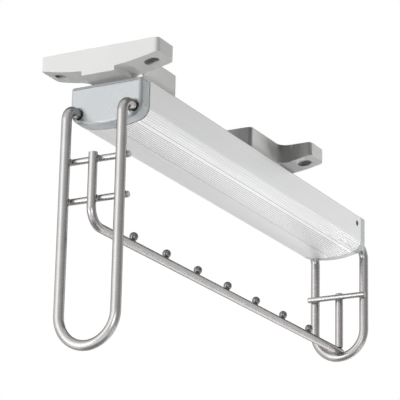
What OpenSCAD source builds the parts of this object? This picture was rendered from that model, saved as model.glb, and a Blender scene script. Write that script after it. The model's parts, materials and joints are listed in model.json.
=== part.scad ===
// Pull-out clothes rail that hangs under a shelf.
// X runs across the rail, the front is at -Y and +Z points up.
// The origin is the middle of the four shelf screws, on the plane of the shelf.

/* [Brackets] */
// Distance between the two shelf screws of one bracket, across the rail
screw_span_x = 80; // [72:1:88]
// Distance between the screws of the front bracket and those of the rear bracket
screw_span_y = 266; // [256:1:272]
// Width of a bracket from wing tip to wing tip
bracket_w = 104; // [102:1:120]
// Depth of the wings, front to back
wing_d = 26; // [22:1:30]
// Height of the wings in the middle of the bracket
wing_h = 17.9; // [17:0.1:19]
// Radius of the arc under the wings
wing_arc_r = 208; // [190:1:320]
// Gap between the stem and the inside of the cover's walls
stem_gap = 6.3; // [5:0.1:8]
// Length of the stem from the outer face of the wings
stem_l = 82; // [74:1:90]
// Step from the wings down to the block in the middle
block_step = 3.3; // [1.5:0.1:5]
// Width of that block on the outer face
block_w = 29; // [20:1:34]
// Width of that block where it meets the stem
block_back_w = 38; // [34:1:42]
// Radius of the inner corners between the stem and the wings
stem_fillet = 8; // [4:0.5:10]
// Radius of the upright corners of the bracket
bracket_corner = 2.5; // [1:0.5:5]
// Wall round the hollows in the top of the stem
bracket_wall = 3; // [2.5:0.5:4]
// Depth of those hollows
core_depth = 18; // [8:1:20]
// Width of the rib between them, which holds the slide's screws
core_rib_w = 11; // [9:0.5:14]
// Bore for a shelf screw
shelf_screw_d = 5.5; // [4:0.1:6]
// Recess for the head of a shelf screw
screw_recess_d = 12; // [10:0.5:14]
// Material left above that recess
screw_flange_h = 8; // [5:0.5:8.5]

/* [Cover] */
// Width of the cover
cover_w = 63.2; // [62.4:0.2:70]
// Length of the cover
cover_l = 388.5; // [380:0.5:400]
// Place of its front end
cover_front_y = -120; // [-122:0.5:-118]
// Gap between the brackets' blocks and the level of its top edges
cover_drop = 2.1; // [1.5:0.1:4]
// Height of the cover from its lowest line to its top edges
cover_h = 34.5; // [34.1:0.1:40]
// Radius of its lower corners
cover_corner_r = 10; // [9:0.5:12]
// Radius of the slight curve of its underside
cover_belly_r = 90; // [86:1:130]
// Wall of the cover
cover_wall = 1.8; // [1.4:0.1:2]
// Thickness of the web inside the cover that carries the slide
web_t = 1.8; // [1.4:0.1:2.4]
// Distance from groove to groove on the underside
groove_pitch = 2; // [1.8:0.1:3]
// Width of a groove
groove_w = 1.1; // [0.6:0.1:1.3]
// Depth of a groove
groove_depth = 0.45; // [0.2:0.05:0.6]
// Width of the first groove, along the middle
first_groove_w = 1.6; // [1:0.1:1.8]
// Depth of the first groove
first_groove_depth = 0.7; // [0.3:0.1:0.8]

/* [End caps] */
// Thickness of the front cap
front_cap_d = 13.5; // [11:0.5:18]
// Distance from the cover's top edge down to the front cap's top
cap_drop = 0.7; // [0.3:0.1:1.5]
// Rounding of the front cap's edges
cap_round = 3; // [1.5:0.5:4]
// Wall of the caps round their hollows
cap_wall = 2.5; // [2:0.1:3.5]
// Thickness of the rear cap
rear_cap_d = 10; // [8:0.5:14]
// Rounding of the rear cap's edges
rear_cap_round = 2; // [1:0.5:3]
// Gap between a stem and the notch in the rear cap, on each side
notch_gap = 2.5; // [1.5:0.1:4]
// Length of the caps' plugs inside the cover
plug_l = 12; // [9:1:18]
// Wall of the caps' plugs
plug_wall = 2.2; // [1.8:0.1:2.6]
// Width of a plug's solid end that holds a handle wire
plug_boss_w = 11.5; // [11:0.5:14]
// Hole in a cap's face round a handle wire
cap_hole_d = 10.4; // [9.6:0.2:11]
// Depth of that hole
cap_hole_depth = 3; // [2:0.5:5]
// Distance of the side screws from the rear end of the cover
side_screw_back = 8; // [6:0.5:10]
// Height of the side screws
side_screw_z = -31; // [-33:0.5:-30]
// Head of a side screw
side_head_d = 4.8; // [4.2:0.1:5.4]
// Shank of a side screw
side_screw_d = 3; // [2.5:0.1:3.5]

/* [Handles and bar] */
// Wire of the handles
handle_d = 8; // [7:0.5:8.5]
// Wall of a cap's plug beside a handle wire
stub_skin = 1.2; // [1:0.1:2]
// Floor of a cap's plug under a handle wire
stub_floor = 4.9; // [4.5:0.1:6]
// Bend of the handle wires at the caps, to the middle of the wire
handle_bend_r = 10; // [8:0.5:11.5]
// Distance from the front cap's face to the front handle
front_standoff = 15; // [12.5:0.5:20]
// Distance from the rear cap's face to the rear handle
rear_standoff = 12; // [12:0.5:20]
// Height of the middle of the front handle's wire at its lowest
front_handle_z = -235; // [-300:1:-200]
// How far the hanger bar is let into the rear handle's wire
bar_sink = 2.3; // [1:0.1:3]
// Diameter of the hanger bar
bar_d = 7; // [6:0.5:8]
// Height of the middle of the hanger bar
bar_z = -141.5; // [-170:0.5:-135]
// Bend of the hanger bar at the front, to the middle of the bar
bar_bend_r = 14; // [10:0.5:16]
// How far the bar's upright stands over the upper front rod
front_rise = 0.8; // [0.5:0.1:8]
// How far the rear upright stands over the rear rod
rear_rise = 2.5; // [0.5:0.1:8]
// Diameter of the cross rods
rod_d = 5; // [4:0.5:6]
// How far the lower front rod lies over the bar's bend
rod_over_bend = 6.9; // [4:0.1:12]
// Distance between the two front rods
rod_gap = 31.6; // [20:0.1:36]
// Distance from the cover's lowest line down to the rear rod
rear_rod_drop = 33.9; // [20:0.1:40]
// Number of ball pegs on the bar
peg_count = 7; // [3:1:7]
// Distance from peg to peg
peg_pitch = 51.8; // [30:0.1:54]
// Ball of a peg
peg_ball_d = 7; // [5:0.5:9]
// Shank of a peg
peg_shank_d = 3; // [2:0.5:4]
// Depth of the shank in the bar
peg_shank_depth = 2; // [1:0.5:3]

/* [Slide] */
// Distance from the slide's rear end to the rear end of the cover
slide_rear_room = 34.5; // [30:0.5:40]
// Distance from the cover's front end back to the slide
slide_inset = 4; // [3.5:0.5:8]
// Gap between the slide and the inside of the cover's walls
slide_side_gap = 7; // [6.4:0.1:8]
// Sheet of the slide's members
sheet_t = 1.2; // [1:0.1:1.3]
// Balls of the slide
ball_d = 4; // [3.8:0.1:4.2]
// Balls in one row
ball_count = 6; // [3:1:6]
// Distance from ball to ball
ball_pitch = 26; // [14:1:28]
// Length of the slide's members that stays in hold when the rail is pulled out
travel_reserve = 20; // [20:1:150]
// Diameter of the slide's screws
slide_screw_d = 4; // [3:0.1:4.5]
// Head of the slide's screws
slide_head_d = 7.4; // [6:0.1:8]
// Length of the screws that hold the slide to a stem
stem_screw_l = 13; // [10:1:15]
// Distance between the two screws in a stem
stem_screw_pitch = 26; // [16:1:28]
// Number of screws between the slide and the cover
carriage_screws = 4; // [2:1:5]
// Length of those screws
carriage_screw_l = 5; // [4:0.5:8]

/* [Hidden] */

plastic = [0.87, 0.87, 0.86];
cap_grey = [0.79, 0.82, 0.83];
aluminium = [0.83, 0.83, 0.83];
steel = [0.66, 0.65, 0.64];
chrome = [0.75, 0.76, 0.78];
zinc = [0.78, 0.79, 0.8];
rubber = [0.12, 0.12, 0.12];
black_steel = [0.16, 0.16, 0.17];

// Overrun of every cut
over = 1;
// Play of a bored fit, on the diameter
fit = 0.1;
// Gap between two pieces that sit on each other
seat = 0.05;
// Gap between pieces that slide past each other
slip = 0.8;

// Widths across the rail
stem_w = cover_w - 2*cover_wall - 2*stem_gap;
slide_w = cover_w - 2*cover_wall - 2*slide_side_gap;
rear_notch_w = stem_w + 2*notch_gap;
handle_w = cover_w - 2*cover_wall - 2*fit - 2*stub_skin - handle_d;
rod_l = handle_w + handle_d;

// Heights under the shelf
block_h = wing_h + block_step;
cover_top_z = -block_h - cover_drop;
cover_bottom_z = cover_top_z - cover_h;
stub_z = cover_bottom_z + cover_wall + fit + stub_floor + handle_d/2;
rear_handle_z = bar_z - bar_d/2 - handle_d/2 + bar_sink;
front_lower_rod_z = bar_z + bar_bend_r + rod_over_bend;
front_upper_rod_z = front_lower_rod_z + rod_gap;
rear_rod_z = cover_bottom_z - rear_rod_drop;
bar_top_z = front_upper_rod_z + rod_d/2 + front_rise;
rear_upright_top_z = rear_rod_z + rod_d/2 + rear_rise;

// Places along the rail
slide_l = cover_l - slide_inset - slide_rear_room;
travel = slide_l - travel_reserve;
bracket_face_y = screw_span_y/2 + wing_d/2;
cover_rear_y = cover_front_y + cover_l;
cap_face_y = cover_front_y - front_cap_d;
rear_face_y = cover_rear_y + rear_cap_d;
front_handle_y = cap_face_y - front_standoff;
rear_handle_y = rear_face_y + rear_standoff;
bar_mid_y = (front_handle_y + rear_handle_y)/2;
front_rod_y = front_handle_y + handle_d/2 + rod_d/2 + seat;
rear_rod_y = rear_handle_y - handle_d/2 - rod_d/2 - seat;
bar_front_y = front_rod_y - rod_d/2 - bar_d/2 - seat;
rear_upright_y = rear_rod_y + rod_d/2 + bar_d/2 + seat;
slide_front_y = cover_front_y + slide_inset;
slide_rear_y = slide_front_y + slide_l;

// The deep part of a bracket's stem, which reaches down into the cover
stem_start = bracket_face_y + cover_front_y + over;
stem_foot = 1.7;
stem_bottom_z = cover_top_z - stem_foot;
core_rows = 2;

// Cross-section of the slide, from the stems down
ball_r = ball_d/2;
race_play = 0.03;
race_r = ball_r + race_play;
bend_r = 2;
row_drop = 4.2;
row_step = sqrt(pow(2*race_r + sheet_t, 2) - pow(row_drop, 2));
row_turn = atan2(row_drop, row_step);
slide_top_z = stem_bottom_z - seat;
outer_web_z = slide_top_z - sheet_t;
middle_top_z = outer_web_z - slip;
middle_web_z = middle_top_z - sheet_t;
inner_ball_z = middle_web_z - race_r;
outer_ball_z = inner_ball_z - row_drop;
outer_ball_x = slide_w/2 - sheet_t - race_r;
inner_ball_x = outer_ball_x - row_step;
inner_bottom_z = outer_ball_z - race_r - sheet_t - slip/2;
inner_web_z = inner_bottom_z + sheet_t;
web_top_z = inner_bottom_z - seat;
web_bottom_z = web_top_z - web_t;
outer_curl_angle = 66;
middle_curl_angle = 205;
inner_from_angle = 155;
inner_to_angle = 220;
inner_lip_angle = 12;
sheet_steps = 7;

// Cages of the slide, in the middle of where both members meet over the whole travel
cage_t = 0.8;
cage_play = 0.15;
cage_end = 8;
cage_rise = 0.9;
outer_cage_h = 8.4;
inner_cage_h = 4.9;
cage_mid_y = (slide_front_y + travel/4 + slide_rear_y - travel/4)/2;
outer_cage_x = outer_ball_x + cage_t*3/4;
inner_cage_x = inner_ball_x - cage_t*3/2;

// Stop tabs bent out of the middle and the inner member
tab_w = 9;
tab_h = 5;
tab_gap = 1;
tab_inset = 3;
inner_tab_y = slide_rear_y - tab_inset - sheet_t;
middle_tab_y = inner_tab_y - travel/2 - tab_gap - sheet_t;

// Closing buffer under the tail of the outer member
tail_l = 8;
buffer_gap = 0.4;
buffer_l = 6;
buffer_w = 18;
buffer_h = 9.5;
buffer_stud_d = 4;
buffer_head_d = 6.5;
buffer_head_h = 1.4;
buffer_y = slide_rear_y + buffer_gap;

// Screws
slide_head_h = 2.2;
socket_share = 0.4;
side_head_h = 1.6;
side_lug_d = 17;
round_steps = 4;
stub_end_gap = 2;

function arc(cx, cy, r, a0, a1, n) =
    [for (i = [0:n]) let (a = a0 + (a1 - a0)*i/n) [cx + r*cos(a), cy + r*sin(a)]];
function rev(v) = [for (i = [len(v) - 1:-1:0]) v[i]];
function flip(v) = [for (p = rev(v)) [-p[0], p[1]]];

// Outline of the cover: a slight belly, two corners and upright sides
belly_z = cover_bottom_z + cover_belly_r;
corner_x = cover_w/2 - cover_corner_r;
corner_z = belly_z - sqrt(pow(cover_belly_r - cover_corner_r, 2) - pow(corner_x, 2));
corner_turn = atan2(corner_x, belly_z - corner_z);
belly_len = cover_belly_r*corner_turn*PI/180;
corner_len = cover_corner_r*(90 - corner_turn)*PI/180;
groove_n = floor((belly_len + corner_len)/groove_pitch);
groove_r = (pow(groove_w/2, 2) + pow(groove_depth, 2))/(2*groove_depth);
first_groove_r = (pow(first_groove_w/2, 2) + pow(first_groove_depth, 2))/(2*first_groove_depth);

// A point at a length s along the outline from its lowest line, t inside it
function outline_at(s, t) =
    s <= belly_len
    ? let (a = s/cover_belly_r*180/PI)
        [(cover_belly_r - t)*sin(a), belly_z - (cover_belly_r - t)*cos(a)]
    : let (a = corner_turn + (s - belly_len)/cover_corner_r*180/PI)
        [corner_x + (cover_corner_r - t)*sin(a), corner_z - (cover_corner_r - t)*cos(a)];

// A prism along Y of a drawing in X and Z
module along_y(y0, y1) {
    translate([0, y1, 0])
        rotate([90, 0, 0])
            linear_extrude(height = y1 - y0) children();
}

// A prism along X of a drawing in Y and Z
module along_x(x0, x1) {
    translate([x0, 0, 0])
        rotate([90, 0, 90])
            linear_extrude(height = x1 - x0) children();
}

// A plate from z0 to z1 of a drawing in X and Y
module along_z(z0, z1) {
    translate([0, 0, z0])
        linear_extrude(height = z1 - z0) children();
}

// A round rod along Y
module rod_y(y0, y1, d) {
    translate([0, y1, 0])
        rotate([90, 0, 0])
            cylinder(h = y1 - y0, d = d);
}

// A rectangle with four round corners
module round_slab(w, l, r) {
    translate([-w/2, r]) square([w, l - 2*r]);
    translate([r - w/2, 0]) square([w - 2*r, l]);
    for (sx = [-1, 1])
        for (y = [r, l - r])
            translate([sx*(w/2 - r), y]) circle(r = r, $fn = 32);
}

// The area inside the cover's outline drawn in by t, up to a height
module cover_area(t, top) {
    reach = (cover_belly_r + over)/cos(corner_turn);
    intersection() {
        union() {
            intersection() {
                translate([0, belly_z]) circle(r = cover_belly_r - t, $fn = 240);
                polygon([[0, belly_z],
                    [-reach*sin(corner_turn), belly_z - reach*cos(corner_turn)],
                    [reach*sin(corner_turn), belly_z - reach*cos(corner_turn)]]);
            }
            for (sx = [-1, 1])
                translate([sx*corner_x, corner_z]) circle(r = cover_corner_r - t, $fn = 56);
            translate([t - cover_w/2, corner_z])
                square([cover_w - 2*t, max(top, cover_top_z) - corner_z]);
        }
        translate([-cover_w/2, cover_bottom_z - over])
            square([cover_w, top - cover_bottom_z + over]);
    }
}

// Brackets

module bracket_elevation() {
    intersection() {
        translate([-bracket_w/2 - over, -wing_h - over])
            square([bracket_w + 2*over, wing_h + over]);
        translate([0, wing_arc_r - wing_h]) circle(r = wing_arc_r, $fn = 240);
    }
}

module bracket_plan() {
    round_slab(bracket_w, wing_d, bracket_corner);
    translate([-stem_w/2, wing_d/2]) square([stem_w, stem_start + over - wing_d/2]);
    for (sx = [-1, 1])
        translate([sx*stem_w/2, wing_d])
            mirror([sx < 0 ? 1 : 0, 0])
                difference() {
                    translate([-over, -over]) square(stem_fillet + over);
                    translate([stem_fillet, stem_fillet]) circle(r = stem_fillet, $fn = 48);
                }
}

module shelf_screw_hole() {
    cone_h = (screw_recess_d - shelf_screw_d)/2;
    translate([0, 0, -wing_h - over])
        cylinder(h = wing_h + 2*over, d = shelf_screw_d, $fn = 32);
    translate([0, 0, -screw_flange_h - cone_h])
        cylinder(h = cone_h, d1 = screw_recess_d, d2 = shelf_screw_d, $fn = 32);
    translate([0, 0, -wing_h - over])
        cylinder(h = wing_h + over - screw_flange_h - cone_h, d = screw_recess_d, $fn = 32);
}

// Hollows in the top of the stem, on both sides of the middle rib
module stem_cores() {
    x0 = core_rib_w/2;
    core_w = stem_w/2 - bracket_wall - x0;
    room = stem_l - stem_start - bracket_wall;
    core_l = room/core_rows - bracket_wall;
    for (sx = [-1, 1])
        for (i = [0:core_rows - 1])
            translate([sx*(x0 + core_w/2), stem_start + bracket_wall + i*(core_l + bracket_wall)])
                along_z(-core_depth, over) round_slab(core_w, core_l, bracket_corner/2);
}

module bracket() {
    difference() {
        union() {
            intersection() {
                along_z(-wing_h - over, 0) bracket_plan();
                along_y(-over, stem_start + stem_l) bracket_elevation();
            }
            along_z(-block_h, 0)
                polygon([[-block_w/2, 0], [block_w/2, 0],
                    [block_back_w/2, stem_start + over], [-block_back_w/2, stem_start + over]]);
            intersection() {
                along_z(stem_bottom_z, 0) round_slab(stem_w, stem_l, bracket_corner);
                translate([-stem_w/2, stem_start, stem_bottom_z])
                    cube([stem_w, stem_l, -stem_bottom_z]);
            }
        }
        for (sx = [-1, 1])
            translate([sx*screw_span_x/2, wing_d/2, 0]) shelf_screw_hole();
        stem_cores();
        translate([0, bracket_face_y, 0]) stem_screw_pair(fit);
    }
}

// Screws between a stem and the slide, heads flush under the slide's outer member
module stem_screw(play) {
    head = (slide_head_d - slide_screw_d)/2;
    translate([0, 0, outer_web_z - (play > 0 ? over : 0)])
        cylinder(h = head + (play > 0 ? over : 0) + play,
            d1 = slide_head_d + play + (play > 0 ? 2*over : 0), d2 = slide_screw_d + play, $fn = 28);
    translate([0, 0, outer_web_z])
        cylinder(h = stem_screw_l + play, d = slide_screw_d + play, $fn = 28);
}

module stem_screw_pair(play) {
    end_y = stem_l - bracket_face_y;
    for (i = [0, 1])
        translate([0, end_y - stem_screw_inset() - i*stem_screw_pitch, 0]) stem_screw(play);
}

function stem_screw_inset() = bracket_wall + slide_head_d;

module screw_socket(d) {
    cylinder(h = d/2 + over, d = d, $fn = 6);
}

module front_bracket() {
    color(plastic) translate([0, -bracket_face_y, 0]) bracket();
}

module rear_bracket() {
    color(plastic) mirror([0, 1, 0]) translate([0, -bracket_face_y, 0]) bracket();
}

module stem_screws() {
    color(zinc)
        for (side = [0, 1])
            mirror([0, side, 0])
                difference() {
                    stem_screw_pair(0);
                    for (i = [0, 1])
                        translate([0, stem_l - bracket_face_y - stem_screw_inset()
                            - i*stem_screw_pitch, outer_web_z - over])
                            screw_socket(slide_head_d*socket_share);
                }
}

// Slide: three members of rolled sheet that run on four rows of balls

outer_half = concat(
    [[0, slide_top_z]],
    arc(slide_w/2 - bend_r, slide_top_z - bend_r, bend_r, 90, 0, 4),
    arc(outer_ball_x, outer_ball_z, race_r + sheet_t, 0, -outer_curl_angle, sheet_steps),
    arc(outer_ball_x, outer_ball_z, race_r, -outer_curl_angle, 0, sheet_steps),
    arc(slide_w/2 - bend_r, slide_top_z - bend_r, bend_r - sheet_t, 0, 90, 4),
    [[0, outer_web_z]]);

middle_half = concat(
    [[0, middle_top_z]],
    arc(inner_ball_x, inner_ball_z, race_r + sheet_t, 90, -row_turn, 2*sheet_steps),
    arc(outer_ball_x, outer_ball_z, race_r, 180 - row_turn, middle_curl_angle, sheet_steps),
    arc(outer_ball_x, outer_ball_z, race_r + sheet_t, middle_curl_angle, 180 - row_turn, sheet_steps),
    arc(inner_ball_x, inner_ball_z, race_r, -row_turn, 90, 2*sheet_steps),
    [[0, middle_web_z]]);

inner_side_x = inner_ball_x + race_r*cos(inner_to_angle);
inner_half = concat(
    [[0, inner_bottom_z]],
    arc(inner_side_x - bend_r, inner_bottom_z + bend_r, bend_r, -90, 0, 4),
    arc(inner_ball_x, inner_ball_z, race_r, inner_to_angle, inner_from_angle, sheet_steps),
    arc(inner_ball_x, inner_ball_z, race_r + sheet_t, inner_from_angle, inner_to_angle - inner_lip_angle, sheet_steps),
    arc(inner_side_x - bend_r, inner_bottom_z + bend_r, bend_r - sheet_t, 0, -90, 4),
    [[0, inner_web_z]]);

module member(half, y0, y1) {
    along_y(y0, y1) polygon(concat(half, flip(half)));
}

// A tab and the window in the web that it is bent out of
module tab(y, z, up) {
    translate([-tab_w/2, y, up ? z : z - tab_h]) cube([tab_w, sheet_t, tab_h]);
}

module tab_window(y, z) {
    translate([-tab_w/2, y - tab_h, z - over]) cube([tab_w, tab_h, sheet_t + 2*over]);
}

module slide_outer_member() {
    color(steel)
        difference() {
            member(outer_half, slide_front_y, slide_rear_y + tail_l);
            for (side = [0, 1]) mirror([0, side, 0]) stem_screw_pair(fit);
            translate([0, buffer_y + buffer_l/2, outer_web_z - over])
                cylinder(h = sheet_t + 2*over, d = buffer_stud_d + fit, $fn = 28);
        }
}

module slide_middle_member() {
    color(steel)
        difference() {
            union() {
                member(middle_half, slide_front_y, slide_rear_y);
                tab(middle_tab_y, middle_top_z, false);
            }
            tab_window(middle_tab_y, middle_web_z);
        }
}

module slide_inner_member() {
    color(steel)
        difference() {
            union() {
                member(inner_half, slide_front_y, slide_rear_y);
                tab(inner_tab_y, inner_bottom_z, true);
            }
            tab_window(inner_tab_y, inner_bottom_z);
            carriage_screw_row() cylinder(h = web_t + sheet_t + 2*over, d = slide_screw_d + fit,
                center = true, $fn = 28);
        }
}

function ball_y(i) = cage_mid_y + (i - (ball_count - 1)/2)*ball_pitch;

// A comb of thin strip with a round pocket for each ball
module cage(x, z0, z1, ball_z) {
    cage_l = (ball_count - 1)*ball_pitch + 2*cage_end;
    difference() {
        translate([x, cage_mid_y - cage_l/2, z0]) cube([cage_t, cage_l, z1 - z0]);
        for (i = [0:ball_count - 1])
            translate([x - over, ball_y(i), ball_z])
                rotate([0, 90, 0])
                    cylinder(h = cage_t + 2*over, r = ball_r + cage_play, $fn = 24);
    }
}

module outer_cage() {
    cage(outer_cage_x, outer_ball_z - cage_rise, outer_ball_z - cage_rise + outer_cage_h,
        outer_ball_z);
}

module inner_cage() {
    cage(inner_cage_x, inner_ball_z - cage_rise - inner_cage_h, inner_ball_z - cage_rise,
        inner_ball_z);
}

module ball_row(x, z) {
    for (i = [0:ball_count - 1])
        translate([x, ball_y(i), z]) sphere(r = ball_r, $fn = 14);
}

module outer_cage_left() {
    color(plastic) mirror([1, 0, 0]) outer_cage();
}

module outer_cage_right() {
    color(plastic) outer_cage();
}

module inner_cage_left() {
    color(plastic) mirror([1, 0, 0]) inner_cage();
}

module inner_cage_right() {
    color(plastic) inner_cage();
}

module outer_balls_left() {
    color(chrome) ball_row(-outer_ball_x, outer_ball_z);
}

module outer_balls_right() {
    color(chrome) ball_row(outer_ball_x, outer_ball_z);
}

module inner_balls_left() {
    color(chrome) ball_row(-inner_ball_x, inner_ball_z);
}

module inner_balls_right() {
    color(chrome) ball_row(inner_ball_x, inner_ball_z);
}

module closing_buffer() {
    color(rubber) {
        translate([-buffer_w/2, buffer_y, outer_web_z - seat - buffer_h])
            cube([buffer_w, buffer_l, buffer_h]);
        translate([0, buffer_y + buffer_l/2, outer_web_z - over])
            cylinder(h = sheet_t + seat + over, d = buffer_stud_d, $fn = 28);
        translate([0, buffer_y + buffer_l/2, slide_top_z + seat])
            cylinder(h = buffer_head_h, d = buffer_head_d, $fn = 28);
    }
}

// Screws between the slide's inner member and the cover's web
module carriage_screw_row() {
    inset = tab_inset + tab_h + 2*tab_w;
    step = (slide_l - 2*inset)/(carriage_screws - 1);
    for (i = [0:carriage_screws - 1])
        translate([0, slide_front_y + inset + i*step, inner_bottom_z]) children();
}

module carriage_screw_set() {
    color(zinc)
        carriage_screw_row()
            difference() {
                union() {
                    translate([0, 0, sheet_t + seat])
                        cylinder(h = slide_head_h, d = slide_head_d, $fn = 28);
                    translate([0, 0, sheet_t + over - carriage_screw_l])
                        cylinder(h = carriage_screw_l, d = slide_screw_d, $fn = 28);
                }
                translate([0, 0, sheet_t + slide_head_h/2]) screw_socket(slide_head_d*socket_share);
            }
}

// Cover

module cover_section() {
    difference() {
        cover_area(0, cover_top_z);
        translate([cover_wall - cover_w/2, web_top_z])
            square([cover_w - 2*cover_wall, cover_top_z - web_top_z + over]);
        cover_area(cover_wall, web_bottom_z);
        translate(outline_at(0, first_groove_depth - first_groove_r))
            circle(r = first_groove_r, $fn = 24);
        for (i = [1:groove_n])
            translate(outline_at(i*groove_pitch, groove_depth - groove_r))
                circle(r = groove_r, $fn = 16);
    }
}

module cover_profile() {
    color(aluminium)
        difference() {
            along_y(cover_front_y, cover_rear_y) cover_section();
            carriage_screw_row() cylinder(h = 2*(web_t + sheet_t + over), d = slide_screw_d + fit,
                center = true, $fn = 28);
            translate([0, cover_rear_y - side_screw_back, side_screw_z])
                rotate([0, 90, 0])
                    cylinder(h = cover_w + over, d = side_head_d + 2*fit, center = true, $fn = 28);
        }
}

// End caps

// Solid cap of the cover's outline, its face at y = 0 and its rounded edges there
module cap_body(depth, top, edge) {
    hull() {
        along_y(edge, depth) cover_area(0, top);
        for (k = [1:round_steps])
            along_y(edge*(1 - sin(90*k/round_steps)), edge)
                cover_area(edge*(1 - cos(90*k/round_steps)),
                    top - edge*(1 - cos(90*k/round_steps)));
    }
}

// Plug of a cap in the closed box under the cover's web
module cap_plug(y0, y1) {
    along_y(y0, y1) cover_area(cover_wall + fit, web_bottom_z - fit);
}

// Hollow of a cap and its plug, between the ends that hold the handle wires
module plug_core(y0, y1) {
    half = handle_w/2 - plug_boss_w/2;
    along_y(y0, y1)
        intersection() {
            cover_area(cover_wall + plug_wall, web_bottom_z - plug_wall);
            translate([-half, cover_bottom_z]) square([2*half, cover_top_z - cover_bottom_z]);
        }
}

module stub_holes(face_y, inward) {
    for (sx = [-1, 1])
        translate([sx*handle_w/2, face_y, stub_z])
            rotate([-90*inward, 0, 0]) {
                translate([0, 0, -over])
                    cylinder(h = cap_hole_depth + over, d = cap_hole_d, $fn = 36);
                cylinder(h = front_cap_d + rear_cap_d + plug_l, d = handle_d + fit, $fn = 36);
            }
}

module front_cap() {
    top = cover_top_z - cap_drop;
    color(cap_grey)
        difference() {
            union() {
                translate([0, cap_face_y, 0]) cap_body(front_cap_d - seat, top, cap_round);
                cap_plug(cover_front_y - over, cover_front_y + plug_l);
            }
            stub_holes(cap_face_y, 1);
            plug_core(cap_face_y + cap_wall, cover_front_y + plug_l + over);
            along_y(cap_face_y + cap_wall, cover_front_y)
                translate([cap_wall - cover_w/2, web_bottom_z + over])
                    square([cover_w - 2*cap_wall, top - cap_wall - web_bottom_z - over]);
        }
}

module rear_cap() {
    notch_z = web_top_z - slip;
    lug_w = cover_w/2 - cover_wall - fit - rear_notch_w/2;
    color(cap_grey)
        difference() {
            union() {
                mirror([0, 1, 0])
                    translate([0, -rear_face_y, 0])
                        cap_body(rear_cap_d - seat, cover_top_z, rear_cap_round);
                cap_plug(cover_rear_y - plug_l, cover_rear_y + over);
                for (sx = [-1, 1])
                    translate([sx*(rear_notch_w/2 + lug_w/2) - lug_w/2,
                        cover_rear_y - side_lug_d, web_top_z + fit])
                        cube([lug_w, side_lug_d + over, stem_bottom_z - web_top_z - fit]);
            }
            translate([-rear_notch_w/2, cover_rear_y - side_lug_d - over, notch_z])
                cube([rear_notch_w, side_lug_d + rear_cap_d + 2*over, -notch_z]);
            stub_holes(rear_face_y, -1);
            plug_core(cover_rear_y - plug_l - over, rear_face_y - cap_wall);
            translate([0, cover_rear_y - side_screw_back, side_screw_z])
                rotate([0, 90, 0])
                    cylinder(h = cover_w + over, d = side_screw_d + fit, center = true, $fn = 28);
        }
}

module rear_cap_screws() {
    head_x = cover_w/2 - seat;
    shank_l = cover_wall - side_head_h + cover_w/2 - cover_wall - rear_notch_w/2;
    color(black_steel)
        for (side = [0, 1])
            mirror([side, 0, 0])
                translate([head_x, cover_rear_y - side_screw_back, side_screw_z])
                    rotate([0, -90, 0])
                        difference() {
                            union() {
                                cylinder(h = side_head_h, d = side_head_d, $fn = 28);
                                cylinder(h = side_head_h + shank_l - seat, d = side_screw_d, $fn = 28);
                            }
                            translate([0, 0, -over]) screw_socket(side_head_d*socket_share);
                        }
}

// Handles and hanger bar

// The half ring under a handle's two legs
module handle_bottom(z, d) {
    translate([0, 0, z + handle_w/2])
        rotate([90, 180, 0])
            rotate_extrude(angle = 180, $fn = 56)
                translate([handle_w/2, 0]) circle(d = d, $fn = 24);
}

// A quarter bend in the plane of Y and Z, from +Y round to +Z
module quarter_bend(r, d) {
    rotate([90, 0, 90])
        rotate_extrude(angle = 90, $fn = 48)
            translate([r, 0]) circle(d = d, $fn = 24);
}

// A handle with its legs on the Z axis' plane and its top ends towards -Y
module u_handle(low_z, stub_l) {
    leg_bottom = low_z + handle_w/2;
    leg_top = stub_z - handle_bend_r;
    handle_bottom(low_z, handle_d);
    for (sx = [-1, 1])
        translate([sx*handle_w/2, 0, 0]) {
            translate([0, 0, leg_bottom])
                cylinder(h = leg_top - leg_bottom, d = handle_d, $fn = 24);
            translate([0, -handle_bend_r, leg_top]) quarter_bend(handle_bend_r, handle_d);
            translate([0, 0, stub_z])
                rod_y(-stub_l, -handle_bend_r, handle_d, $fn = 24);
        }
}

module front_handle() {
    color(chrome)
        translate([0, front_handle_y, 0])
            rotate([0, 0, 180])
                u_handle(front_handle_z,
                    cover_front_y + plug_l - stub_end_gap - front_handle_y);
}

module rear_handle() {
    color(chrome)
        translate([0, rear_handle_y, 0])
            u_handle(rear_handle_z, rear_handle_y - cover_rear_y + plug_l - stub_end_gap);
}

function peg_y(i) = bar_mid_y + (i - (peg_count - 1)/2)*peg_pitch;

module hanger_bar() {
    rear_y = rear_upright_y + bar_d/2;
    lead = bar_d/8;
    color(chrome)
        difference() {
            union() {
                translate([0, bar_front_y, bar_z + bar_bend_r])
                    cylinder(h = bar_top_z - lead - bar_z - bar_bend_r, d = bar_d, $fn = 24);
                translate([0, bar_front_y, bar_top_z - lead])
                    cylinder(h = lead, d1 = bar_d, d2 = bar_d - 2*lead, $fn = 24);
                translate([0, bar_front_y + bar_bend_r, bar_z + bar_bend_r])
                    rotate([180, 0, 0]) quarter_bend(bar_bend_r, bar_d);
                translate([0, 0, bar_z])
                    rod_y(bar_front_y + bar_bend_r, rear_y, bar_d, $fn = 24);
            }
            translate([0, rear_handle_y, 0])
                handle_bottom(rear_handle_z, handle_d + 2*seat);
            for (i = [0:peg_count - 1])
                translate([0, peg_y(i), bar_z + bar_d/2 - peg_shank_depth - seat])
                    cylinder(h = peg_shank_depth + over, d = peg_shank_d + fit, $fn = 20);
        }
}

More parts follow.
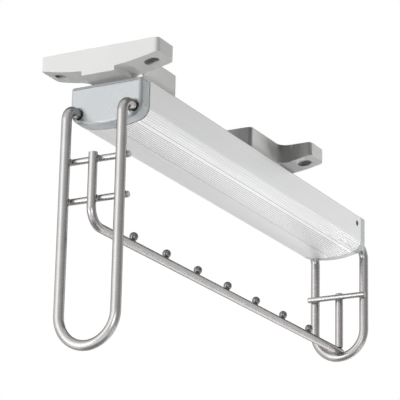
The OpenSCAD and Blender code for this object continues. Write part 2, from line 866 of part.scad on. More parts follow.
module rear_upright() {
    lead = bar_d/8;
    color(chrome)
        difference() {
            union() {
                translate([0, rear_upright_y, bar_z])
                    cylinder(h = rear_upright_top_z - lead - bar_z, d = bar_d, $fn = 24);
                translate([0, rear_upright_y, rear_upright_top_z - lead])
                    cylinder(h = lead, d1 = bar_d, d2 = bar_d - 2*lead, $fn = 24);
            }
            translate([0, 0, bar_z])
                rod_y(rear_upright_y - bar_d, rear_upright_y + bar_d, bar_d + 2*seat, $fn = 24);
            translate([-bar_d, rear_upright_y - bar_d, bar_z - bar_d])
                cube([2*bar_d, 2*bar_d, bar_d]);
        }
}

module cross_rod(y, z) {
    lead = rod_d/10;
    translate([-rod_l/2, y, z])
        rotate([0, 90, 0]) {
            cylinder(h = lead, d1 = rod_d - 2*lead, d2 = rod_d, $fn = 24);
            translate([0, 0, lead]) cylinder(h = rod_l - 2*lead, d = rod_d, $fn = 24);
            translate([0, 0, rod_l - lead])
                cylinder(h = lead, d1 = rod_d, d2 = rod_d - 2*lead, $fn = 24);
        }
}

module front_upper_rod() {
    color(chrome) cross_rod(front_rod_y, front_upper_rod_z);
}

module front_lower_rod() {
    color(chrome) cross_rod(front_rod_y, front_lower_rod_z);
}

module rear_rod() {
    color(chrome) cross_rod(rear_rod_y, rear_rod_z);
}

module hanger_pegs() {
    color(steel)
        for (i = [0:peg_count - 1])
            translate([0, peg_y(i), bar_z + bar_d/2]) {
                translate([0, 0, peg_ball_d/2 + seat]) sphere(d = peg_ball_d, $fn = 20);
                translate([0, 0, -peg_shank_depth])
                    cylinder(h = peg_shank_depth + peg_ball_d/2, d = peg_shank_d, $fn = 20);
            }
}

front_bracket();
rear_bracket();
stem_screws();
slide_outer_member();
slide_middle_member();
slide_inner_member();
outer_cage_left();
outer_cage_right();
inner_cage_left();
inner_cage_right();
outer_balls_left();
outer_balls_right();
inner_balls_left();
inner_balls_right();
closing_buffer();
carriage_screw_set();
cover_profile();
front_cap();
rear_cap();
rear_cap_screws();
front_handle();
rear_handle();
hanger_bar();
rear_upright();
front_upper_rod();
front_lower_rod();
rear_rod();
hanger_pegs();
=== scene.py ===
# %% [markdown]
# # A pull-out clothes rail, made piece by piece
# The rail hangs under a wardrobe shelf. Two white brackets hold a ball slide, a ribbed aluminium
# cover runs along it, and two wire handles with a bar between them carry the clothes hangers.
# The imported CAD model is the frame: it says where every piece sits. The visible pieces are modelled
# again here with softer edges and real finishes, each in the place of its CAD node.

# %% Load the frame
import json
import math
import bmesh
import bpy
from mathutils import Matrix, Vector

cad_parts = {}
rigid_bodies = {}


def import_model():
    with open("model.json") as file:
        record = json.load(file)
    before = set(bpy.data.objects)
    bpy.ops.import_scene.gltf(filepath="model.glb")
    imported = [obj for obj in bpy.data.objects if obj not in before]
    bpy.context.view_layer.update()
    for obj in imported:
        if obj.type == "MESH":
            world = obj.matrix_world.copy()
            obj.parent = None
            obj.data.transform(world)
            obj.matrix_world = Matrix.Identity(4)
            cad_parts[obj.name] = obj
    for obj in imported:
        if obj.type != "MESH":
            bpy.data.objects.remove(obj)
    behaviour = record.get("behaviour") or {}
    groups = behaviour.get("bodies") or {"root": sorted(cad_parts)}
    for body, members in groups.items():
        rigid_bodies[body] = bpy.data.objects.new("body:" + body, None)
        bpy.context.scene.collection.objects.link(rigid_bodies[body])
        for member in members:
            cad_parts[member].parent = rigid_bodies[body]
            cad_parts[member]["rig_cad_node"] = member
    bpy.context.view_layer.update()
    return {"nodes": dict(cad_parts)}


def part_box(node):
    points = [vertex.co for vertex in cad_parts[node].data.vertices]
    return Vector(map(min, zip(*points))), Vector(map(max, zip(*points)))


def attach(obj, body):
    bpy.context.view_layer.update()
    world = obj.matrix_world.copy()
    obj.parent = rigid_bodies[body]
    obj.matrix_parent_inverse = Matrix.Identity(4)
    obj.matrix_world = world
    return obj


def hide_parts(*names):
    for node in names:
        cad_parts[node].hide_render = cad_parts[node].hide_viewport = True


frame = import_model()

# %% [markdown]
# ## The camera
# The photograph looks up at the rail from the front right. Its direction, tilt and lens were
# worked out from the straight edges of the cover and the wires, so the camera is set from three
# angles and a place instead of being aimed by eye. A long lens keeps the rail nearly parallel.

# %% Set up the camera
turn, climb, tilt = (math.radians(a) for a in (28.77, 17.68, 1.252))
camera_place = Vector((0.8141, -1.4625, -0.6137))
focal_pixels, photo_pixels, sensor_mm = 2171, 400, 36
ahead = Vector((-math.sin(turn) * math.cos(climb), math.cos(turn) * math.cos(climb),
    math.sin(climb)))
level = Vector((math.cos(turn), math.sin(turn), 0))
plumb = level.cross(ahead)
right = math.cos(tilt) * level + math.sin(tilt) * plumb
up = math.cos(tilt) * plumb - math.sin(tilt) * level

bpy.ops.object.camera_add()
camera = bpy.context.object
camera.name = "camera"
facing = Matrix((right, up, -ahead)).transposed().to_4x4()
camera.matrix_world = Matrix.Translation(camera_place) @ facing
camera.data.lens = focal_pixels * sensor_mm / photo_pixels
camera.data.clip_end = 30
bpy.context.scene.camera = camera
bpy.context.scene.view_settings.view_transform = "Standard"
print("lens in mm:", round(camera.data.lens, 1))

# %% [markdown]
# ## The studio
# White plastic and satin metal need plain light. A soft key from the front shows the white faces
# of the front bracket and the grey cap, a fill from behind on the right lights the cover's flat
# side and leaves the rear bracket's stem dark, and two small panels low on either side lift the
# undersides that the camera looks up at. A weak sun from above lights what faces the shelf. The
# world is white for the eye, for reflections and for anything seen through, and only faint as a
# light, so that the corners between the pieces stay dark as they do in a real fitting.

# %% Light the studio
world = bpy.data.worlds.new("studio")
bpy.context.scene.world = world
world.use_nodes = True
sky = world.node_tree
sky.nodes.clear()


def link(tree, *pairs):
    """Links pairs of sockets in a node tree, each from an output to an input."""
    for source, target in pairs:
        tree.links.new(source, target)


def world_node(kind, **inputs):
    """Adds a node to the world and sets its plain inputs."""
    made = sky.nodes.new(kind)
    for name, value in inputs.items():
        made.inputs[name].default_value = value
    return made


white = (1, 1, 1, 1)
seen = world_node("ShaderNodeBackground", Color=white, Strength=1.0)
faint = world_node("ShaderNodeBackground", Color=white, Strength=0.03)
rays = world_node("ShaderNodeLightPath")
either, any_of = world_node("ShaderNodeMath"), world_node("ShaderNodeMath")
either.operation = any_of.operation = "MAXIMUM"
pick = world_node("ShaderNodeMixShader")
out = world_node("ShaderNodeOutputWorld")
link(sky, (rays.outputs["Is Camera Ray"], either.inputs[0]),
    (rays.outputs["Is Glossy Ray"], either.inputs[1]),
    (either.outputs[0], any_of.inputs[0]),
    (rays.outputs["Is Transmission Ray"], any_of.inputs[1]),
    (any_of.outputs[0], pick.inputs[0]),
    (faint.outputs[0], pick.inputs[1]),
    (seen.outputs[0], pick.inputs[2]),
    (pick.outputs[0], out.inputs[0]))

middle = Vector((0, 0.07, -0.09))


def lamp(name, azimuth, elevation, distance, width, height, level):
    """A soft panel that looks at the middle of the rail. Azimuth 0 is in front, 90 to the right;
    level 1 lights a white face that looks straight at it to full white. The panels don't show in
    reflections, because the paper round the rail draws those."""
    a, e = math.radians(azimuth), math.radians(elevation)
    away = Vector((math.sin(a) * math.cos(e), -math.cos(a) * math.cos(e), math.sin(e)))
    bpy.ops.object.light_add(type="AREA", location=middle + away * distance)
    made = bpy.context.object
    made.name = name
    made.data.shape = "RECTANGLE"
    made.data.size, made.data.size_y = width, height
    made.data.energy = level * (math.pi * distance) ** 2
    made.rotation_mode = "QUATERNION"
    made.rotation_quaternion = (-away).to_track_quat("-Z", "Y")
    made.visible_camera = False
    made.visible_glossy = False


# The numbers are azimuth, elevation, distance, width, height and level.
lamp("key_light", -10, -10, 4.5, 1.4, 0.7, 0.86)
lamp("fill_light", 141, 0, 2.6, 0.9, 1.0, 0.58)
lamp("edge_light", 122, -42, 1.5, 0.6, 0.4, 0.3)
lamp("low_light", -62, -38, 1.6, 0.5, 0.4, 0.12)
sun_lean, sun_spread, sun_strength = math.radians(-20), math.radians(12), 2.4
bpy.ops.object.light_add(type="SUN", location=(0, 1, 2), rotation=(sun_lean, 0, 0))
top_light = bpy.context.object
top_light.name = "top_light"
top_light.data.energy, top_light.data.angle = sun_strength, sun_spread
top_light.visible_glossy = False

# %% [markdown]
# ## The paper round the rail
# Metal shows what stands round it. A photographer wraps a bright object in paper: white in front,
# grey at one side, so that each wire gets a light stripe and a dark side. The paper here is a
# ring in three heights with a glow that changes with the azimuth, and before it a few strips:
# two bright ones at the front for the stripes on the wires, a wide one low at the front for the
# cross rods and the cap's rounded edge, one low behind for the ribbed corner, a dark one high
# behind for the wires' far sides and a dark disc below. Only reflections see them.

# %% Stand the paper
even = ((-90, 1), (270, 1))


def glowing(name, glow, tones):
    """A finish that glows by its azimuth round the rail. The tones are pairs of azimuth, from
    -90 to 270, and a share of the strongest glow."""
    finish = bpy.data.materials.new(name)
    finish.use_nodes = True
    tree = finish.node_tree
    tree.nodes.clear()
    place = tree.nodes.new("ShaderNodeTexCoord")
    turn = tree.nodes.new("ShaderNodeTexGradient")
    turn.gradient_type = "RADIAL"
    ramp = tree.nodes.new("ShaderNodeValToRGB")
    stops = ramp.color_ramp.elements
    for i, (azimuth, share) in enumerate(tones):
        stop = stops[i] if i < 2 else stops.new(azimuth / 360 + 0.25)
        stop.position = azimuth / 360 + 0.25
        stop.color = (share, share, share, 1)
    shine = tree.nodes.new("ShaderNodeEmission")
    shine.inputs["Strength"].default_value = glow
    end = tree.nodes.new("ShaderNodeOutputMaterial")
    link(tree, (place.outputs["Object"], turn.inputs[0]), (turn.outputs["Fac"], ramp.inputs["Fac"]),
        (ramp.outputs["Color"], shine.inputs["Color"]), (shine.outputs[0], end.inputs[0]))
    return finish


def stand(made, name, finish):
    """Names a sheet of paper and hides it from all but reflections."""
    made.name = made.data.name = name
    bpy.ops.object.transform_apply(location=True, rotation=True, scale=True)
    made.data.materials.append(finish)
    made.visible_camera = made.visible_diffuse = made.visible_shadow = False
    made.visible_transmission = False


def paper(name, from_angle, to_angle, low, high, radius, glow, tones=even):
    """A curved upright sheet between two azimuths and two heights in metres."""
    bpy.ops.object.select_all(action="DESELECT")
    a = math.radians(from_angle)
    foot = middle + Vector((math.sin(a), -math.cos(a), 0)) * radius
    bpy.ops.mesh.primitive_plane_add(size=0.1, location=(foot.x, foot.y, middle.z + low))
    made = bpy.context.object
    bpy.ops.object.mode_set(mode="EDIT")
    bpy.ops.mesh.merge(type="CENTER")
    bpy.ops.mesh.extrude_region_move(TRANSFORM_OT_translate={"value": (0, 0, high - low)})
    bpy.ops.mesh.select_all(action="SELECT")
    bpy.ops.mesh.spin(steps=60, angle=math.radians(from_angle - to_angle), center=middle,
        axis=(0, 0, 1))
    bpy.ops.object.mode_set(mode="OBJECT")
    stand(made, name, glowing(name, glow, tones))


all_round, ring_top, ring_radius = (-90, 269.9), 1.25, 2.4
side_tones = [(30, 0.3), (60, 0.24), (95, 0.17), (128, 0.17), (142, 0.45), (152, 0.5),
    (180, 0.56), (194, 0.72), (208, 0.38), (235, 0.42)]
upper_tones = [(-90, 0.5), (270, 0.48), (-58, 0.52), (-40, 0.72), (-24, 0.95), (-8, 0.9), (8, 0.5)]
lower_tones = [(-90, 0.4), (270, 0.4), (-30, 0.42), (8, 0.36)]
ceiling_tones = [(-90, 0.6), (270, 0.6), (-60, 0.8), (0, 0.9), (60, 0.5), (100, 0.2), (245, 0.25)]
# The numbers are two azimuths, two heights, the distance and the glow.
paper("upper_ring", *all_round, 0.0, ring_top, ring_radius, 2.5, upper_tones + side_tones)
paper("lower_ring", *all_round, -1.1, 0.0, ring_radius, 2.5, lower_tones + side_tones)
paper("dark_ceiling", *all_round, ring_top, 3.4, ring_radius, 1.4, ceiling_tones)
paper("low_strip", 172, 206, -1.15, -0.6, 1.5, 2.4)
paper("dark_back", 168, 236, 0.12, 1.2, 2.3, 0.3)
paper("left_strip", -38, -20, -0.42, -0.1, 1.0, 5.5)
paper("right_strip", 18, 42, -0.42, -0.1, 1.0, 3.6)
paper("front_low_strip", -75, 20, -1.0, -0.42, 1.0, 1.5)
bpy.ops.object.select_all(action="DESELECT")
bpy.ops.mesh.primitive_circle_add(vertices=48, radius=0.8, fill_type="NGON",
    location=(middle.x, middle.y, -1.27))
stand(bpy.context.object, "dark_card_below", glowing("dark_card_below", 0.4, even))

# %% [markdown]
# ## Words for the hand work
# Most pieces start as one loose point that is extruded along an outline, or as a round section
# that is extruded and spun along a wire. These short helpers do the parts that come back: clear
# the selection, enter and leave edit mode, pick vertices by their place, and put the finished
# place into the mesh. Sizes are written in millimetres and turned into metres by `mm`.

# %% Helpers for modelling
def mm(*values):
    """Millimetres to metres, as a vector if there are three."""
    return values[0] / 1000 if len(values) == 1 else Vector(values) / 1000


def take(piece):
    """Selects one piece alone and makes it the active one."""
    bpy.ops.object.select_all(action="DESELECT")
    piece.select_set(True)
    bpy.context.view_layer.objects.active = piece


def edit(piece):
    """Enters edit mode with nothing selected."""
    take(piece)
    bpy.ops.object.mode_set(mode="EDIT")
    bpy.ops.mesh.select_mode(type="VERT")
    bpy.ops.mesh.select_all(action="DESELECT")


def done(piece, smooth=None):
    """Leaves edit mode with the place in the mesh, and smooths the flat shading below an angle."""
    if bpy.context.mode != "OBJECT":
        bpy.ops.object.mode_set(mode="OBJECT")
    take(piece)
    bpy.ops.object.transform_apply(location=True, rotation=True, scale=True)
    if smooth:
        bpy.ops.object.shade_smooth_by_angle(angle=math.radians(smooth))
        bpy.ops.object.modifier_add(type="WEIGHTED_NORMAL")
        piece.modifiers[-1].keep_sharp = True
        bpy.ops.object.modifier_apply(modifier=piece.modifiers[-1].name)
    return piece


def select_where(piece, test, kind="VERT"):
    """In edit mode, selects the vertices, edges or faces whose points all pass the test."""
    bpy.ops.mesh.select_mode(type=kind)
    bpy.ops.mesh.select_all(action="DESELECT")
    shape = bmesh.from_edit_mesh(piece.data)
    place = piece.matrix_world
    items = {"VERT": shape.verts, "EDGE": shape.edges, "FACE": shape.faces}[kind]
    for item in items:
        corners = [item] if kind == "VERT" else item.verts
        if all(test(*((place @ v.co) * 1000)) for v in corners):
            item.select_set(True)
    shape.select_flush_mode()
    bmesh.update_edit_mesh(piece.data)
    return sum(item.select for item in items)


def start_point(name, at):
    """One loose point to draw from, left selected in edit mode."""
    bpy.ops.object.select_all(action="DESELECT")
    bpy.ops.mesh.primitive_plane_add(size=mm(1), location=at)
    piece = bpy.context.object
    piece.name = piece.data.name = name
    bpy.ops.object.mode_set(mode="EDIT")
    bpy.ops.mesh.select_mode(type="VERT")
    bpy.ops.mesh.select_all(action="SELECT")
    bpy.ops.mesh.merge(type="CENTER")
    return piece


def push(*offset):
    """Extrudes what is selected, by an offset in millimetres."""
    bpy.ops.mesh.extrude_region_move(TRANSFORM_OT_translate={"value": mm(*offset)})


def trace(corners):
    """Extrudes the selected point along a row of places in metres."""
    for here, there in zip(corners, corners[1:]):
        bpy.ops.mesh.extrude_region_move(TRANSFORM_OT_translate={"value": there - here})


def draw(name, outline, at):
    """Draws a closed outline by extruding a point along it, and fills it with one face.
    `at` turns the drawing's two numbers into a place in millimetres."""
    corners = [mm(*at(u, v)) for u, v in outline]
    piece = start_point(name, corners[0])
    trace(corners + corners[:1])
    bpy.ops.mesh.select_all(action="SELECT")
    bpy.ops.mesh.remove_doubles(threshold=mm(0.005))
    bpy.ops.mesh.edge_face_add()
    return piece


def face_out():
    """Turns all faces outwards."""
    bpy.ops.mesh.select_all(action="SELECT")
    bpy.ops.mesh.normals_make_consistent(inside=False)


def combine(piece, tool, how="DIFFERENCE"):
    """Applies a boolean with another piece, which is then thrown away."""
    take(piece)
    bpy.ops.object.modifier_add(type="BOOLEAN")
    step = piece.modifiers[-1]
    step.operation, step.object, step.solver = how, tool, "EXACT"
    bpy.ops.object.modifier_apply(modifier=step.name)
    bpy.data.objects.remove(tool)


def soften(piece, width, segments=3, angle=40):
    """Rounds every edge sharper than an angle, as a mould or a deburring brush leaves it."""
    take(piece)
    bpy.ops.object.modifier_add(type="BEVEL")
    step = piece.modifiers[-1]
    step.width, step.segments = mm(width), segments
    step.limit_method, step.angle_limit = "ANGLE", math.radians(angle)
    step.miter_outer = "MITER_ARC"
    bpy.ops.object.modifier_apply(modifier=step.name)


def copy_of(piece, name):
    """Duplicates a piece under a name of its own."""
    take(piece)
    bpy.ops.object.duplicate()
    made = bpy.context.object
    made.name = made.data.name = name
    return made


def disc(name, at, d, sides, rotation=(0, 0, 0)):
    """A filled circle where a wire or a rod begins, left selected in edit mode."""
    bpy.ops.object.select_all(action="DESELECT")
    bpy.ops.mesh.primitive_circle_add(vertices=sides, radius=mm(d / 2), fill_type="NGON",
        location=mm(*at), rotation=rotation)
    piece = bpy.context.object
    piece.name = piece.data.name = name
    bpy.ops.object.mode_set(mode="EDIT")
    return piece


def rod(name, start, offset, d, sides=32):
    """A round rod from a filled circle, extruded in one go. All in millimetres."""
    piece = disc(name, start, d, sides, Vector(offset).to_track_quat("Z", "Y").to_euler())
    push(*offset)
    face_out()
    bpy.ops.object.mode_set(mode="OBJECT")
    return piece


def block(name, low, high):
    """A box between two corners, as a start or as a cutter."""
    bpy.ops.object.select_all(action="DESELECT")
    lo, hi = Vector(low), Vector(high)
    bpy.ops.mesh.primitive_cube_add(size=mm(1), location=(lo + hi) / 2000, scale=hi - lo)
    piece = bpy.context.object
    piece.name = piece.data.name = name
    return piece


def arc(cx, cy, r, a0, a1, n):
    """Points on an arc from angle a0 to a1, in degrees."""
    turns = [math.radians(a0 + (a1 - a0) * i / n) for i in range(n + 1)]
    return [(cx + r * math.cos(t), cy + r * math.sin(t)) for t in turns]


def mirrored(points):
    """The same points on the other side of the middle, in the opposite order."""
    return [(-u, v) for u, v in reversed(points)]


def report(piece):
    """Prints a piece's size, and its open edges, of which there should be none."""
    shape = bmesh.new()
    shape.from_mesh(piece.data)
    gaps = sum(len(e.link_faces) != 2 for e in shape.edges)
    volume = shape.calc_volume() * 1e9
    faces = sum(len(f.verts) - 2 for f in shape.faces)
    shape.free()
    print(f"{piece.name}: {faces} triangles, {volume:.0f} mm3, {gaps} open edges")


def paint_faces(piece, slot, test):
    """In edit mode, gives the faces that pass the test the finish in one of the slots."""
    count = select_where(piece, test, "FACE")
    piece.active_material_index = slot
    bpy.ops.object.material_slot_assign()
    return count


# %% [markdown]
# ## Words for the finishes
# Each finish is a Principled shader with a few noise textures that read Object coordinates, so
# the pattern has a real size in metres and stays on the piece when it moves. A stretched Mapping
# turns round noise into the long fine lines that drawing and rolling leave on metal.

# %% Helpers for finishes
class Finish:
    """A material under construction: a Principled shader and the textures that feed it."""

    texture_range = (0.3, 0.7)  # where most of a noise texture's values lie

    def __init__(self, name, colour, metallic, roughness, **sockets):
        self.material = bpy.data.materials.new(name)
        self.material.use_nodes = True
        self.tree = self.material.node_tree
        self.shader = self.tree.nodes["Principled BSDF"]
        self.shader.inputs["Base Color"].default_value = (*colour, 1)
        self.shader.inputs["Metallic"].default_value = metallic
        self.shader.inputs["Roughness"].default_value = roughness
        for socket, value in sockets.items():
            self.shader.inputs[socket.replace("_", " ")].default_value = value
        self.place = self.tree.nodes.new("ShaderNodeTexCoord")
        self.bump = None

    def noise(self, size, detail, stretch=(1, 1, 1)):
        """Noise with features of about `size` millimetres, stretched along the axes."""
        mapping = self.tree.nodes.new("ShaderNodeMapping")
        mapping.inputs["Scale"].default_value = [1 / s for s in stretch]
        texture = self.tree.nodes.new("ShaderNodeTexNoise")
        texture.inputs["Scale"].default_value = 1000 / size
        texture.inputs["Detail"].default_value = detail
        texture.inputs["Roughness"].default_value = 0.5
        link(self.tree, (self.place.outputs["Object"], mapping.inputs["Vector"]),
            (mapping.outputs[0], texture.inputs["Vector"]))
        return texture.outputs["Fac"]

    def tones(self, source, dark, light):
        """Drives the base colour between two near tones."""
        ramp = self.tree.nodes.new("ShaderNodeValToRGB")
        stops = ramp.color_ramp.elements
        for stop, position, tone in zip(stops, self.texture_range, (dark, light)):
            stop.position, stop.color = position, (*tone, 1)
        link(self.tree, (source, ramp.inputs["Fac"]),
            (ramp.outputs["Color"], self.shader.inputs["Base Color"]))

    def gloss(self, source, low, high):
        """Drives the roughness from low to high."""
        ramp = self.tree.nodes.new("ShaderNodeMapRange")
        for name, value in zip(("From Min", "From Max", "To Min", "To Max"),
                (*self.texture_range, low, high)):
            ramp.inputs[name].default_value = value
        link(self.tree, (source, ramp.inputs["Value"]),
            (ramp.outputs["Result"], self.shader.inputs["Roughness"]))

    def relief(self, source, height, strength):
        """Adds a bump of about `height` millimetres on top of those already there."""
        bump = self.tree.nodes.new("ShaderNodeBump")
        bump.inputs["Distance"].default_value = height / 1000
        bump.inputs["Strength"].default_value = strength
        self.tree.links.new(source, bump.inputs["Height"])
        if self.bump:
            self.tree.links.new(self.bump.outputs[0], bump.inputs["Normal"])
        self.tree.links.new(bump.outputs[0], self.shader.inputs["Normal"])
        self.bump = bump


def paint(piece, finish):
    """Gives a piece its finish as its only material."""
    piece.data.materials.clear()
    piece.data.materials.append(finish.material)


# %% [markdown]
# ## Finishes of the rail
# The brackets are injection moulded in white plastic with a fine spark-eroded grain and a soft
# sheen; their screw holes are rougher inside and get a grey painted shade. The end caps are a
# cooler, bluish grey. The cover is drawn aluminium with a clear anodised skin: fine lines run
# along it and the sheen is broad. The walls of its grooves and its top lips get a darker painted
# shade, and the ribs' flat crests a lighter painted highlight. The wires are steel with a satin
# nickel plating, a little warmer and darker.

# %% Make the finishes
white_plastic = Finish("white_moulded_plastic", (0.78, 0.78, 0.765), 0.0, 0.42, IOR=1.46,
    Specular_IOR_Level=0.25)
white_plastic.tones(white_plastic.noise(45, 4), (0.765, 0.765, 0.75), (0.8, 0.8, 0.785))
white_plastic.gloss(white_plastic.noise(6, 5), 0.38, 0.5)
white_plastic.relief(white_plastic.noise(0.55, 3), 0.03, 0.6)
white_plastic.relief(white_plastic.noise(9, 2), 0.08, 0.25)

# Painted shade: the walls of the screw holes are greyer than the white plastic, so they look as dark
# as shaded recesses.
painted_shade_holes = Finish("painted_shade_hole_walls", (0.42, 0.42, 0.41), 0.0, 0.6, IOR=1.46)
painted_shade_holes.tones(painted_shade_holes.noise(4, 4), (0.4, 0.4, 0.39), (0.44, 0.44, 0.43))
painted_shade_holes.relief(painted_shade_holes.noise(0.4, 3), 0.03, 0.6)

cap_plastic = Finish("silver_grey_plastic", (0.48, 0.503, 0.514), 0.2, 0.28, IOR=1.48)
cap_plastic.tones(cap_plastic.noise(30, 4), (0.467, 0.49, 0.501), (0.492, 0.515, 0.526))
cap_plastic.gloss(cap_plastic.noise(25, 3), 0.25, 0.31)
cap_plastic.relief(cap_plastic.noise(0.8, 2), 0.0015, 0.5)

aluminium = Finish("satin_anodised_aluminium", (0.8, 0.8, 0.8), 0.45, 0.4)
aluminium.tones(aluminium.noise(2.5, 4, (1, 60, 1)), (0.79, 0.792, 0.795), (0.815, 0.817, 0.82))
aluminium.gloss(aluminium.noise(0.9, 3, (1, 120, 1)), 0.36, 0.44)
aluminium.relief(aluminium.noise(0.5, 2, (1, 150, 1)), 0.006, 0.3)

# Painted shade: a darker copy of the aluminium for the groove walls and the top lips.
painted_shade_grooves = Finish("painted_shade_groove_walls", (0.47, 0.47, 0.47), 0.4, 0.5)
painted_shade_grooves.tones(painted_shade_grooves.noise(1.5, 3, (1, 40, 1)), (0.45, 0.45, 0.45), (0.49, 0.49, 0.49))
painted_shade_grooves.relief(painted_shade_grooves.noise(0.5, 2, (1, 80, 1)), 0.01, 0.5)

# Painted highlight: a lighter copy of the aluminium for the flat rib crests.
painted_highlight_crests = Finish("painted_highlight_rib_crests", (0.965, 0.965, 0.965), 0.45, 0.4)
painted_highlight_crests.tones(painted_highlight_crests.noise(2.5, 4, (1, 60, 1)), (0.957, 0.959, 0.962),
    (0.97, 0.972, 0.975))
painted_highlight_crests.gloss(painted_highlight_crests.noise(0.9, 3, (1, 120, 1)), 0.38, 0.46)

wire_steel = Finish("satin_nickel_wire", (0.42, 0.41, 0.407), 1.0, 0.25,
    Specular_Tint=(0.45, 0.44, 0.43, 1))
wire_steel.tones(wire_steel.noise(12, 4), (0.405, 0.395, 0.392), (0.44, 0.43, 0.427))
wire_steel.gloss(wire_steel.noise(3, 3), 0.24, 0.29)
wire_steel.relief(wire_steel.noise(0.45, 2), 0.003, 0.3)

peg_steel = Finish("dark_nickel_balls", (0.2, 0.19, 0.185), 1.0, 0.34)
peg_steel.tones(peg_steel.noise(4, 3), (0.185, 0.175, 0.17), (0.225, 0.215, 0.21))
peg_steel.gloss(peg_steel.noise(1.5, 3), 0.2, 0.28)

weld_steel = Finish("weld_beads", (0.3, 0.29, 0.28), 1.0, 0.5)
weld_steel.tones(weld_steel.noise(1.2, 4), (0.2, 0.19, 0.18), (0.42, 0.41, 0.4))
weld_steel.relief(weld_steel.noise(0.7, 4), 0.08, 0.7)

zinc_steel = Finish("zinc_plated_sheet", (0.62, 0.64, 0.66), 1.0, 0.3)
zinc_steel.tones(zinc_steel.noise(6, 5, (1, 4, 1)), (0.56, 0.58, 0.6), (0.68, 0.7, 0.72))
zinc_steel.gloss(zinc_steel.noise(0.8, 3, (1, 80, 1)), 0.24, 0.4)
zinc_steel.relief(zinc_steel.noise(0.4, 2, (1, 120, 1)), 0.01, 0.5)

ball_steel = Finish("bearing_balls", (0.72, 0.72, 0.73), 1.0, 0.08)
ball_steel.gloss(ball_steel.noise(0.8, 3), 0.06, 0.14)

cage_plastic = Finish("cage_plastic", (0.72, 0.7, 0.62), 0.0, 0.45, IOR=1.5)
cage_plastic.tones(cage_plastic.noise(5, 3), (0.68, 0.66, 0.58), (0.76, 0.74, 0.67))
cage_plastic.relief(cage_plastic.noise(0.5, 3), 0.02, 0.5)

screw_zinc = Finish("zinc_plated_screws", (0.6, 0.61, 0.62), 1.0, 0.28)
screw_zinc.tones(screw_zinc.noise(1.5, 4), (0.54, 0.55, 0.56), (0.66, 0.67, 0.68))
screw_zinc.gloss(screw_zinc.noise(1, 3), 0.22, 0.38)

black_steel = Finish("black_screws", (0.035, 0.035, 0.038), 0.6, 0.4)
black_steel.tones(black_steel.noise(0.8, 3), (0.025, 0.025, 0.028), (0.055, 0.055, 0.06))
black_steel.relief(black_steel.noise(0.4, 3), 0.02, 0.5)

rubber = Finish("black_rubber", (0.02, 0.02, 0.02), 0.0, 0.7, IOR=1.5)
rubber.tones(rubber.noise(1.5, 4), (0.016, 0.016, 0.016), (0.03, 0.03, 0.03))
rubber.relief(rubber.noise(0.5, 4), 0.05, 0.6)
print("finishes:", len(bpy.data.materials))

# %% [markdown]
# ## The shelf brackets
# One mould makes both brackets, and the rear one is turned round. Seen from above it is a bar
# with a long stem, so the outline in plan is drawn first and pushed down. The underside of the
# wings is a shallow arc: cuts across the block give it lines that can be lowered one by one.
# The block and the deep stem are joined to it, the hollows and screw holes are cut, and last a
# small round runs along every edge.

# %% Draw the wings in plan and push them down
bracket_w, wing_d, wing_h, wing_arc = 104.0, 26.0, 17.9, 208.0
block_h, block_w, block_back_w = 21.2, 29.0, 38.0
stem_w, stem_l, stem_start, stem_floor = 47.0, 82.0, 27.0, 25.0
stem_fillet, corner, edge_round = 8.0, 3.6, 0.55
face_y = 146.0

half_plan = ([(0, 0)] + arc(bracket_w / 2 - corner, corner, corner, -90, 0, 6)
    + arc(bracket_w / 2 - corner, wing_d - corner, corner, 0, 90, 6)
    + arc(stem_w / 2 + stem_fillet, wing_d + stem_fillet, stem_fillet, 270, 180, 14)
    + [(stem_w / 2, stem_start + 12)])
plan = half_plan[1:] + mirrored(half_plan[1:])
bracket = draw("bracket", plan, lambda u, v: (u, v, 0))
push(0, 0, -wing_h)
face_out()


def underside(x):
    """Height of the arc under the wings."""
    return -wing_h + wing_arc - math.sqrt(wing_arc ** 2 - x ** 2)


for x in range(-50, 51, 4):
    bpy.ops.mesh.select_all(action="SELECT")
    bpy.ops.mesh.bisect(plane_co=mm(x, 0, 0), plane_no=(1, 0, 0))
bpy.ops.object.mode_set(mode="OBJECT")
low_x = sorted({round(v.co.x * 1000 + bracket.location.x * 1000, 4)
    for v in bracket.data.vertices})
edit(bracket)
for x in low_x:
    select_where(bracket, lambda u, v, w: abs(u - x) < 0.001 and w < -wing_h + 0.01)
    bpy.ops.transform.translate(value=mm(0, 0, underside(x) + wing_h))
done(bracket)
report(bracket)

# %% Add the block and the deep stem, and cut the hollows and the screw holes
block_top = -0.02
tray = draw("block", [(-block_w / 2, 0), (block_w / 2, 0), (block_back_w / 2, stem_start + 1),
    (-block_back_w / 2, stem_start + 1)], lambda u, v: (u, v, block_top))
push(0, 0, -block_h - block_top)
face_out()
done(tray)
combine(bracket, tray, "UNION")

stem_half = ([(stem_w / 2, stem_start)]
    + arc(stem_w / 2 - corner, stem_l - corner, corner, 0, 90, 6))
stem = draw("stem", stem_half + mirrored(stem_half), lambda u, v: (u, v, 0))
push(0, 0, -stem_floor)
face_out()
done(stem)
combine(bracket, stem, "UNION")

rib, wall, hollow_deep, hollow_r = 11.0, 3.0, 18.0, 1.25
hollow_w = stem_w / 2 - wall - rib / 2
hollow_l = (stem_l - stem_start - wall) / 2 - wall
for side in (-1, 1):
    for i in (0, 1):
        cx = side * (rib / 2 + hollow_w / 2)
        y0 = stem_start + wall + i * (hollow_l + wall)
        outline = []
        for sx, sy, a in ((1, 1, 0), (-1, 1, 90), (-1, -1, 180), (1, -1, 270)):
            outline += arc(cx + sx * (hollow_w / 2 - hollow_r),
                y0 + hollow_l / 2 + sy * (hollow_l / 2 - hollow_r), hollow_r, a, a + 90, 4)
        hollow = draw("hollow", outline, lambda u, v: (u, v, 1))
        push(0, 0, -hollow_deep - 1)
        face_out()
        done(hollow)
        combine(bracket, hollow)

